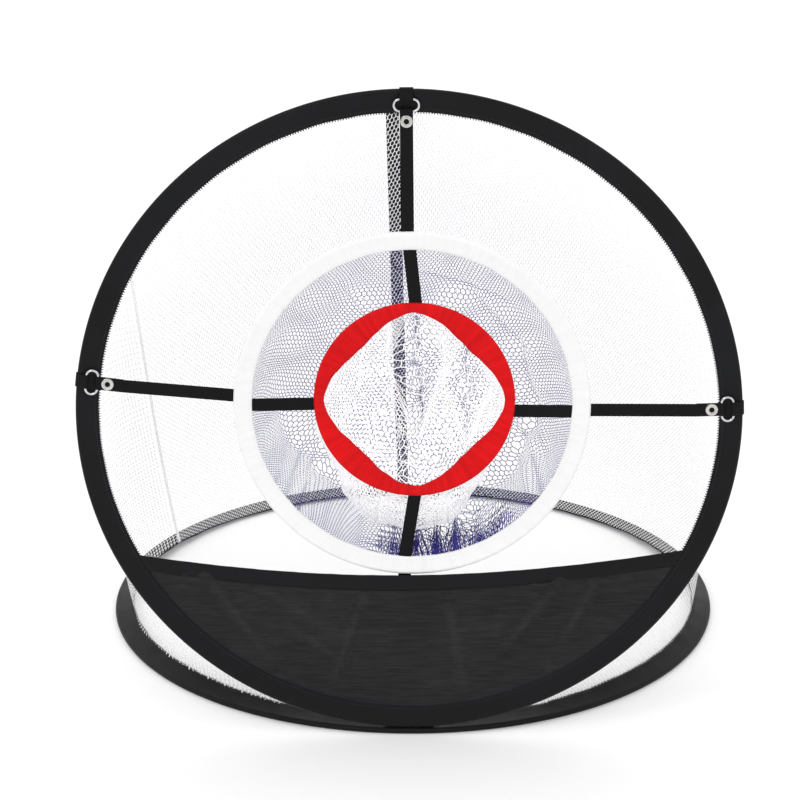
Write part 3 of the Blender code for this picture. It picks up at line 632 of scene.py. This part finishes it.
middlePocket["bunches"] = [(12, -114, 55, 12, 2.0), (-86, -74, 24, 22, 1.3), (94, -56, 16, 30, 1.3),
                           (3, 0, 8, 36, 1.6), (42, -20, 8, 26, 1.6)]
innerPocket["folds"] = [
    (-20, 40, -15, -52, 9, -4, 0.72), (20, 30, 25, -52, 7, -3.5, 0.70), (-62, -48, -14, -76, 12, 4, 0.72),
    (-12, -74, 30, -84, 12, 3.5, 0.72), (30, -84, 68, -44, 12, 4, 0.72), (-12, -44, 12, -76, 8, -2.5, 0.65),
    (-28, -86, -30, -118, 6, 2.5, 0.60), (-4, -88, -3, -122, 6, 2.5, 0.60), (24, -86, 26, -118, 6, 2.5, 0.60)]
innerPocket["bunches"] = [(4, -80, 50, 12, 1.8), (-19, -5, 7, 46, 1.0), (22, -12, 5, 40, 1.0)]
innerPocket["windows"] = [(1, 12, 13, 40), (41, -4, 11, 30)]


def wander(x, z, free, amount, seed, pitches=(0.020, 0.055)):
    # the threads of a slack net aren't evenly spaced
    draw = random.Random(seed)
    for _ in range(6):
        turn, pitch, phase = draw.uniform(0, math.tau), draw.uniform(*pitches), draw.uniform(0, math.tau)
        wave = amount * free * np.sin((x * math.cos(turn) + z * math.sin(turn)) * math.tau / pitch + phase)
        x, z = x + wave * math.cos(turn), z + wave * math.sin(turn)
    return x, z


def crumple(x, z, bunches, seed):
    for k, bunch in enumerate(bunches):
        midX, midZ, halfX, halfZ, amount = (size / 1000 for size in bunch)
        free = np.exp(-((x - midX) / halfX) ** 2 - ((z - midZ) / halfZ) ** 2)
        x, z = wander(x, z, free, amount, seed + k, (0.010, 0.024))
    return x, z


def gather(x, z, depth, free, folds):
    # threads draw together along a fold, which stands out of the cloth; free is 0 where the cloth is sewn
    for *sizes, strength in folds:
        startX, startZ, endX, endZ, width, out = (size / 1000 for size in sizes)
        length = math.hypot(endX - startX, endZ - startZ)
        alongX, alongZ = (endX - startX) / length, (endZ - startZ) / length
        along = (x - startX) * alongX + (z - startZ) * alongZ
        aside = (z - startZ) * alongX - (x - startX) * alongZ
        over = np.maximum(np.maximum(-along, along - length), 0)
        near = free * np.exp(-(aside / width) ** 2 - (over / (1.5 * width)) ** 2)
        x = x + alongZ * aside * strength * near
        z = z - alongX * aside * strength * near
        depth = depth + free * out * np.exp(-(aside / (0.45 * width)) ** 2 - (over / (1.5 * width)) ** 2)
    return x, z, depth


def flutter(pocket, share, turn, coarse, fine):
    # small folds that run from the bottom of a bag to its ring
    return pocket["wave"] * np.sin(math.pi * share) * (ripple(turn, *coarse) + 0.5 * ripple(turn, *fine))


def pocketProfile(pocket):
    # distance along the bag from its bottom to the ring, against the slope
    slope = np.linspace(0, math.pi / 2, 400)
    reach = pocket["radius"] * np.sin(slope) ** 0.8
    back = pocket["depth"] * np.cos(slope) ** 0.9
    length = np.concatenate([[0], np.cumsum(np.hypot(np.diff(reach), np.diff(back)))])
    return slope, length / length[-1]


def middleSurface(across, along):
    # the wide bag: a bowl whose bottom hangs lower than its ring
    pocket = middlePocket
    slopes, lengths = pocket["profile"]
    out, turn = np.hypot(across, along) / pocket["flat"], np.arctan2(along, across)
    share = np.clip(out, 0, 1)
    low = np.exp(-((turn - slackNet["lowest"]) / slackNet["wide"]) ** 4)
    slack = np.maximum(0.6 * low, 0.45 * np.exp(-((turn + 1.5) / 1.35) ** 4))
    slope = np.interp(share + slack * share * (1 - share), lengths, slopes)
    fold = flutter(pocket, share, turn, (5, 13, 21), (12, 22, 22))
    reach = pocket["radius"] * np.sin(slope) ** 0.8 + fold + np.clip(out - 1, 0, 1) * pocket["flat"]
    back = np.cos(slope) ** 0.9
    x, z = reach * np.cos(turn), reach * np.sin(turn) - pocket["drop"] * back ** 1.5
    # at its lowest the slack lies in a heap of small folds, one behind the other
    heap = low * easeIn(0.36, 0.52, share) * easeIn(0.0, 0.04, 1 - share)
    heap *= slackNet["high"] * (1 + 0.35 * ripple(turn, 9, 26, 24))
    z = z + heap * np.sin(share * 78 + 1.5 * ripple(turn, 5, 12, 23))
    return placeBag(pocket, x, z, pocket["depth"] * back, share)


def innerSurface(across, along):
    # the small bag: threads run from the red tape's edge over a bent line to the closed end, like a sock
    pocket = innerPocket
    half, high, low, behind = pocket["belly"]
    out, turn = np.hypot(across, along) / pocket["flat"], np.arctan2(along, across)
    share = np.clip(out, 0, 1)
    cosine, sine = np.cos(turn), np.sin(turn)
    edge = innerRing["radius"] - redLay["width"](turn) + pocket["tuck"]
    ring, bend, away = share ** 2, 2 * share * (1 - share), (1 - share) ** 2
    x = ring * edge * cosine + bend * (half * np.sign(cosine) * np.abs(cosine) ** 0.7 - 0.006)
    z = ring * edge * sine + bend * (high * sine - low) - away * pocket["drop"]
    deep = bend * (behind + 0.0075 * sine) + away * pocket["depth"]
    fold = flutter(pocket, share, turn, (6, 15, 31), (14, 24, 32))
    reach = 1 + fold / 0.05 + np.clip(out - 1, 0, 1) * pocket["flat"] / edge
    return placeBag(pocket, x * reach, z * reach, deep, share, redLay["pucker"](turn, 0.95) * share ** 8)


def placeBag(pocket, x, z, deep, share, lift=0.0):
    # draws the threads of a bag together and apart, and hangs it behind its ring
    free = 1 - share ** 8
    x, z = wander(x, z, free, pocket["uneven"], pocket["seeds"][0])
    x, z, deep = gather(x, z, deep, free, pocket["folds"])
    x, z = crumple(x, z, pocket["bunches"], pocket["seeds"][1])
    for window in pocket["windows"]:
        midX, midZ, halfX, halfZ = (size / 1000 for size in window)
        apart = 2 * free * np.exp(-(np.abs(x - midX) / halfX + np.abs(z - midZ) / halfZ) ** 2)
        x, z = x + (x - midX) * apart, z + (z - midZ) * apart
    centre = pocket["ring"]["centre"]
    return throughMatrix(standing, x + centre[0],
                         targetPlane + 0.0012 * (1 - share) + np.maximum(deep, 0) - lift, z + centre[1])


def pocketNet(name, pocket, surface, look, nodes):
    wide = 2 * pocket["flat"]
    mesh, cloth = flatNet(wide + 0.02, wide + 0.02, pocket["pitch"], pocket["strand"], pocket["height"],
                          lambda x, y: np.hypot(x, y) < pocket["flat"] + 0.0015)
    layNet(mesh, surface)
    piece = finishMesh(name, mesh, look, "standing_hoop", nodes)
    math.pi * wide / 4
    cloth * covered(pocket)
    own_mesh(piece)
    print(name, len(mesh.polygons) * 2, "triangles")


middlePocket["profile"] = pocketProfile(middlePocket)
pocketNet("middle_pocket_mesh", middlePocket, middleSurface, "blueNet", ["middle_pocket_net"])
pocketNet("inner_pocket_mesh", innerPocket, innerSurface, "pocketNet", ["inner_pocket_net"])


# webbing and tape: strips that follow a path

def smoothPath(points, step):
    # even steps along straight runs, points given as (along, out)
    spots = np.array(points, float)
    lengths = np.concatenate([[0], np.cumsum(np.linalg.norm(np.diff(spots, axis=0), axis=1))])
    marks = np.linspace(0, lengths[-1], max(2, int(lengths[-1] / step)) + 1)
    return np.stack([np.interp(marks, lengths, column) for column in spots.T], 1)


def strip(name, points, width, thickness, place, look, body, nodes=(), step=0.001, sides=6):
    # place maps (along, side, out) to the world; points are (along, out)
    path = smoothPath(points, step)
    bm = bmesh.new()
    bmesh.ops.create_grid(bm, x_segments=len(path) - 1, y_segments=sides, size=0.5)
    long = step * (len(path) - 1)
    layWeave(bm, lambda point: (point.co.y * width, point.co.x * long))
    for point in bm.verts:
        along, out = path[round((point.co.x + 0.5) * (len(path) - 1))]
        point.co = place(along, point.co.y * width, out)
    return finishPiece(name, bm, look, body, nodes, thickness)


def arcPoints(centre, radius, first, last, count):
    return [(centre[0] + radius * math.cos(a), centre[1] + radius * math.sin(a))
            for a in np.radians(np.linspace(first, last, count))]


def spoke(turn, shift=0.0):
    # maps (inward from the hoop's edge, side, ahead) at an angle round the standing hoop
    outward = Vector((math.cos(turn), math.sin(turn)))
    side = Vector((-outward.y, outward.x))

    def place(inward, across, ahead):
        flat = outward * (hoop["radius"] - inward) + side * (across + shift)
        return standingRing @ Vector((*flat, ahead))
    return place


def sleeveTop(inward):
    start = (hoop["tube"] * (1 + math.cos(tapeLeaves)), hoop["tube"] * math.sin(tapeLeaves))
    share = (inward - start[0]) / (hoop["width"] - start[0])
    return start[1] + (0.0007 - start[1]) * share


def toCircle(turn, ring, extra):
    outward = Vector((math.cos(turn), math.sin(turn)))
    start = outward * hoop["radius"] - Vector(ring["centre"])
    along = start.dot(outward)
    return along - math.sqrt(along * along - start.length_squared + (ring["radius"] + extra) ** 2)


fitting = {"depth": 0.012, "raise": 0.0042, "wire": 0.0010, "long": 0.021, "short": 0.011, "eyelet": 0.0243,
           "webbing": 0.0008, "webWidth": 0.010, "tape": 0.0006, "tapeWidth": 0.0105, "gap": 0.0003,
           "end": 0.036, "lap": 0.0012}
raised, wire, gap, lap = (fitting[key] for key in ("raise", "wire", "gap", "lap"))
outerBar = fitting["depth"] - fitting["short"] / 2 + wire
innerBar = fitting["depth"] + fitting["short"] / 2 - wire
linkTurns = {"top": math.radians(90.3), "left": math.radians(173.3), "right": math.radians(1.9)}


def webbing(name, path, place, node, step=0.001, body="standing_hoop"):
    return strip(name, path, fitting["webWidth"], fitting["webbing"], place, "webbing", body, [node], step)


for side, turn in linkTurns.items():
    # the loop runs behind the sleeve, round its outer edge, over the ring's outer bar and back
    off = gap + fitting["tape"] / 2
    path = [(inward, -sleeveTop(inward) - off - 0.0001) for inward in (0.0165, 0.0045)]
    path += arcPoints((hoop["tube"], 0), hoop["tube"] + off + 0.0001, -82, -252, 17)
    path += arcPoints((outerBar, raised), wire + off, 108, -90, 17)
    path.append((0.0048, sleeveTop(0.0048) + off + 0.0001))
    strip("tape_loop_cloth_" + side, path, fitting["tapeWidth"], fitting["tape"], spoke(turn), "webbing",
          "standing_hoop", ["tape_loop_" + side], 0.0005)
    # the strap's end is folded back round the ring's inner bar
    layer = gap / 2 + fitting["webbing"] / 2
    flatFrom = fitting["eyelet"] - 0.0052
    path = [(fitting["end"], raised - layer), (flatFrom, raised - layer)]
    path += arcPoints((innerBar, raised), wire + gap + fitting["webbing"] / 2, 300, 60, 17)
    path += [(flatFrom, raised + layer), (fitting["end"], raised + layer),
             (toCircle(turn, middleRing, -lap), -targetPlane)]
    webbing("outer_webbing_" + side, path, spoke(turn), "outer_strap_" + side, 0.0008)

bottomTurn = math.radians(270)
off = gap + fitting["webbing"] / 2
path = [(0.0065, -sleeveTop(0.0065) - off), (0.0175, -sleeveTop(0.0175) - off - 0.0004), (0.030, -0.0030),
        (toCircle(bottomTurn, middleRing, -lap), -targetPlane)]
webbing("outer_webbing_bottom", path, spoke(bottomTurn, -0.0035), "outer_strap_bottom")


def innerWebbing(name, first, last, node):
    # from the middle ring, at one angle, to the inner ring, at another
    outside, inside = middleRing["radius"] - middleRing["width"] + lap, innerRing["radius"] - lap
    start = Vector(middleRing["centre"]) + outside * Vector((math.cos(first), math.sin(first)))
    end = Vector(innerRing["centre"]) + inside * Vector((math.cos(last), math.sin(last)))
    along = (end - start).normalized()
    side = Vector((-along.y, along.x))
    ahead = standing @ Matrix.Translation((0, targetPlane, 0)) @ facing

    def place(reach, across, out):
        return ahead @ Vector((*(start + along * reach + side * across), out))
    webbing(name, [(0, 0), ((end - start).length, 0)], place, node)


for side, first, last in (("top", 90.8, 89.2), ("left", 180.0, 182.4), ("right", -2.2, -6.4),
                          ("bottom", 267.3, 270.2)):
    innerWebbing("inner_webbing_" + side, math.radians(first), math.radians(last), "inner_strap_" + side)

# down the back, in two halves that fold with the hoops
stay = {"shift": -0.0121, "off": 0.0008}


def stayPlace(along, side, out):
    return Vector((side + stay["shift"], along, out))


def stayPoint(inward, extra, standsUp):
    # a point of the strap, just behind the top of the standing sleeve or just over the rear of the lying one
    above, reach = sleeveTop(inward) + stay["off"] + extra, hoop["radius"] - inward
    point = standing @ Vector((0, above, reach)) if standsUp else lyingRing @ Vector((0, reach, above))
    return tuple(point.yz)


stayMarks = ((0.005, 0), (0.012, 0), (0.0145, 0.0014))
stayFront = [stayPoint(*mark, True) for mark in stayMarks]
stayRear = [stayPoint(*mark, False) for mark in reversed(stayMarks)]
stayMiddle = tuple((a + b) / 2 for a, b in zip(stayFront[-1], stayRear[0]))
for name, path, body in (("rear_webbing_front", stayFront + [stayMiddle], "standing_hoop"),
                         ("rear_webbing_base", [stayMiddle] + stayRear, "base_hoop")):
    flattenToHoop(webbing(name, path, stayPlace, "rear_stay_strap", 0.002, body), body)

rise, leanBack = math.tan(math.radians(7)), math.sin(lean)
path = [(0.008, 0.0008 + 0.0075 * rise), (0.0012, 0.0008), (0.0006, 0.0014),
        (0.0007 + 0.0075 * leanBack, 0.0075)]
joining = strip("joining_tape_cloth", path, 0.040, 0.0005,
                lambda back, side, above: Vector((side, foldPoint[1] + back, foldPoint[2] + above)),
                "blackTape", None, ["joining_tape"], 0.0008, 20)
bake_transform(joining)
print("webbing and tapes")


# the apron

apron = {"top": (-0.1140, -0.1302, -0.1085), "binding": 0.0125, "cloth": 0.0005, "tape": 0.00045,
         "wide": 0.430, "tall": 0.128, "area": 0.0352, "tuck": 0.003}


def apronEdge(across):
    left, middle, right = apron["top"]
    return middle + (right - left) / 2 * across + ((right + left) / 2 - middle) * across * across


def apronReach(up, inset):
    radius = hoop["radius"] - hoop["width"] + inset
    return math.sqrt(radius * radius - up * up)


# in millimetres: (from x, z, to x, z, width, height)
apronCreases = [
    (-34, -140, -60, -218, 4.5, 1.8), (118, -135, 75, -190, 5, -1.6), (-120, -140, -55, -180, 8, 2.0),
    (30, -150, 45, -230, 7, -1.6), (150, -130, 120, -185, 6, 1.4), (-160, -130, -110, -200, 6, -1.4),
    (-100, -170, -50, -205, 5, 1.4), (-85, -185, -20, -176, 4, 1.0)]


def apronLift(x, z):
    # how far the cloth stands out, and how much painted highlight lies along its creases
    lift = 0.0009 * math.sin(31 * x + 14 * z) * math.sin(22 * z + 9 * x + 1.0)
    lift += 0.0005 * math.sin(90 * x + 30 * z + 2.0) * math.sin(40 * x - 85 * z)
    creaseHighlight = 0.0
    for crease in apronCreases:
        ax, az, bx, bz, wide, high = (size / 1000 for size in crease)
        start, line = Vector((ax, az)), Vector((bx - ax, bz - az))
        spot = Vector((x, z)) - start
        along = max(0.0, min(1.0, spot.dot(line) / line.length_squared))
        away = (spot - line * along).length
        lift += high * math.exp(-(away / wide) ** 2)
        # painted highlight: each crease is drawn paler along its line, as if it caught the light
        creaseHighlight += 0.30 * math.exp(-(away / (0.5 * wide)) ** 2) * math.sin(math.pi * (0.1 + 0.8 * along))
    return lift, creaseHighlight


def apronPanel():
    columns, rows = 150, 50
    bm = bmesh.new()
    bmesh.ops.create_grid(bm, x_segments=columns, y_segments=rows, size=0.5)
    ends = [math.atan2(apronEdge(side), side * apronReach(apronEdge(side), 0.0)) for side in (-1, 1)]
    radius = hoop["radius"] - hoop["width"] + apron["tuck"]
    # the painted crease highlight goes to the material as an attribute
    creaseHighlight = bm.verts.layers.float.new("creaseHighlight")
    for point in bm.verts:
        share, down = point.co.x + 0.5, 0.5 - point.co.y
        across = (2 * share - 1) * 0.995
        top = apronEdge(across) - 0.001
        edge = Vector((across * apronReach(top, apron["tuck"]), top))
        turn = ends[0] * (1 - share) + ends[1] * share
        foot = Vector((radius * math.cos(turn), radius * math.sin(turn)))
        flat = edge.lerp(foot, down)
        near = min(1.0, (radius - flat.length) / 0.02)
        lift, point[creaseHighlight] = apronLift(flat.x, flat.y)
        point.co = (flat.x, flat.y, -lift * near * min(1.0, down * 6))
    layWeave(bm, lambda point: point.co.xy)
    return finishPiece("apron_cloth", bm, "apron", "standing_hoop", ["apron_panel"], apron["cloth"],
                       standingRing)


def apronBinding():
    # (below the apron's edge, ahead of its cloth)
    front = [(apron["binding"], 0.00085), (0.0085, 0.00090), (0.0045, 0.00088), (0.0012, 0.00075),
             (0.0003, 0.00045)]
    profile = front + [(0, 0)] + [(drop, -ahead) for drop, ahead in reversed(front)]
    columns = 240
    bm = bmesh.new()
    bmesh.ops.create_grid(bm, x_segments=columns, y_segments=len(profile) - 1, size=0.5)
    layWeave(bm, lambda point: (point.co.x * apron["wide"], point.co.y * 2 * apron["binding"]))
    for point in bm.verts:
        across = 2 * point.co.x
        drop, ahead = profile[round((point.co.y + 0.5) * (len(profile) - 1))]
        wave = 0.0003 * math.sin(37 * across) + 0.0002 * math.sin(83 * across + 1)
        up = apronEdge(across) - drop + wave * 0.6
        point.co = (across * apronReach(up, 0.0015), up, ahead + wave)
    return finishPiece("apron_binding_tape", bm, "blackTape", "standing_hoop", ["apron_binding"],
                       apron["tape"], standingRing)


binding = apronBinding()
apronPanel()
print("apron")


# the link rings and eyelets; the metal inside keeps its solids

def setOnSpoke(bm, turn, inward, half=0.0):
    # half is how far each side of the shape is moved out sideways
    put = spoke(turn)
    for point in bm.verts:
        side = point.co.y + math.copysign(half, point.co.y)
        point.co = put(inward + point.co.x, side, raised + point.co.z)


def linkRing(name, turn):
    # a ring of round wire, drawn out sideways into an oval
    bar = Matrix.Translation((fitting["short"] / 2 - wire, 0, 0))
    bm = bmesh.new()
    bmesh.ops.create_circle(bm, segments=16, radius=wire, matrix=bar @ facing)
    spinRound(bm, bm.verts[:] + bm.edges[:], 40, space=Matrix.Rotation(math.radians(4.5), 4, "Z"))
    setOnSpoke(bm, turn, fitting["depth"], (fitting["long"] - fitting["short"]) / 2)
    return finishPiece("link_wire_" + name, bm, "chrome", "standing_hoop", ["link_ring_" + name])


eyeletProfile = {"hole": 0.0020, "barrel": 0.0027, "flange": 0.0048, "sheet": 0.0005}


def eyeletRing(name, turn):
    # rolled sheet: a barrel through the webbing with a domed flange on both faces
    size = eyeletProfile
    grip = gap / 2 + fitting["webbing"] + 0.00005
    middle, half = (size["hole"] + size["flange"]) / 2, (size["flange"] - size["hole"]) / 2
    line = [(middle - half * math.cos(turned), grip + size["sheet"] * math.sin(turned) ** 0.7)
            for turned in (math.pi * k / 12 for k in range(13))] + [(size["barrel"], grip)]
    line += [(reach, -ahead) for reach, ahead in reversed(line)]
    bm = bmesh.new()
    points = [bm.verts.new((reach, 0, ahead)) for reach, ahead in line]
    spinRound(bm, points + [bm.edges.new(pair) for pair in zip(points, points[1:] + points[:1])], 40)
    setOnSpoke(bm, turn, fitting["eyelet"])
    return finishPiece("eyelet_ring_" + name, bm, "nickel", "standing_hoop", ["eyelet_" + name])


for side, turn in linkTurns.items():
    linkRing(side, turn)
    eyeletRing(side, turn)
for name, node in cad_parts.items():
    if name.endswith(("_wire", "_ferrule")):
        node.material_slots[0].material = looks["spring" if name.endswith("_wire") else "crimp"]


# floor, light and camera

def floorLook():
    look = Look("floor", (0.86, 0.86, 0.86), 0.9, specular=0.0)
    seen = look.add("LightPath", out="Is Camera Ray")
    for rays in ("Is Glossy Ray", "Is Transmission Ray"):
        seen = look.maths("MAXIMUM", seen, look.add("LightPath", out=rays))
    look.set("Emission Color", look.mix(seen, (0, 0, 0), (0.18, 0.18, 0.18)))
    look.values(look.shader, {"Emission Strength": 1})
    return look.material


bm = bmesh.new()
bmesh.ops.create_grid(bm, x_segments=1, y_segments=1, size=8, matrix=Matrix.Translation((0, 0, -0.0004)))
floor = bpy.data.objects.new("floor", makeMesh("floor", bm))
floor.data.materials.append(floorLook())
bpy.context.scene.collection.objects.link(floor)

world = bpy.data.worlds.new("studio")
bpy.context.scene.world = world
world.use_nodes = True
nodes = world.node_tree.nodes
glow, output = nodes["Background"], nodes["World Output"]
seen, either, sight = (nodes.new("ShaderNode" + kind) for kind in ("Background", "MixShader", "LightPath"))
glow.inputs["Color"].default_value, glow.inputs["Strength"].default_value = (1, 1, 1, 1), 0.92
for start, end in ((sight.outputs["Is Camera Ray"], either.inputs[0]), (glow.outputs[0], either.inputs[1]),
                   (seen.outputs[0], either.inputs[2]), (either.outputs[0], output.inputs["Surface"])):
    world.node_tree.links.new(start, end)

# where each lamp stands, its size and its power
lamps = {"key": ((-1.6, -1.8, 2.6), 1.3, 18), "fill": ((2.2, -1.6, 1.6), 2.0, 7),
         "rear": ((0.4, 2.4, 2.2), 2.0, 8)}
for name, (spot, size, power) in lamps.items():
    lamp = bpy.data.lights.new(name, "AREA")
    lamp.shape, lamp.size, lamp.energy = "DISK", size, power
    holder = bpy.data.objects.new(name, lamp)
    holder.location = spot
    holder.rotation_euler = (Vector((0, 0.15, 0.2)) - Vector(spot)).to_track_quat("-Z", "Y").to_euler()
    bpy.context.scene.collection.objects.link(holder)

view = {"focal": 145.0, "distance": 2.6, "elevation": 20.83, "azimuth": 0.94, "roll": -0.22,
        "target": (-0.0084, 0.1228, 0.2374)}
azimuth, elevation, roll = (Matrix.Rotation(math.radians(angle), 4, axis) for angle, axis in (
    (view["azimuth"], "Z"), (90 - view["elevation"], "X"), (view["roll"], "Z")))
camera = bpy.data.objects.new("camera", bpy.data.cameras.new("camera"))
camera.data.lens, camera.data.sensor_width = view["focal"], 36
camera.data.clip_end = 50
camera.matrix_world = (Matrix.Translation(view["target"]) @ azimuth @ elevation @ roll
                       @ Matrix.Translation((0, 0, view["distance"])))
bpy.context.scene.collection.objects.link(camera)
bpy.context.scene.camera = camera
bpy.context.scene.view_settings.view_transform = "Standard"

print("done")
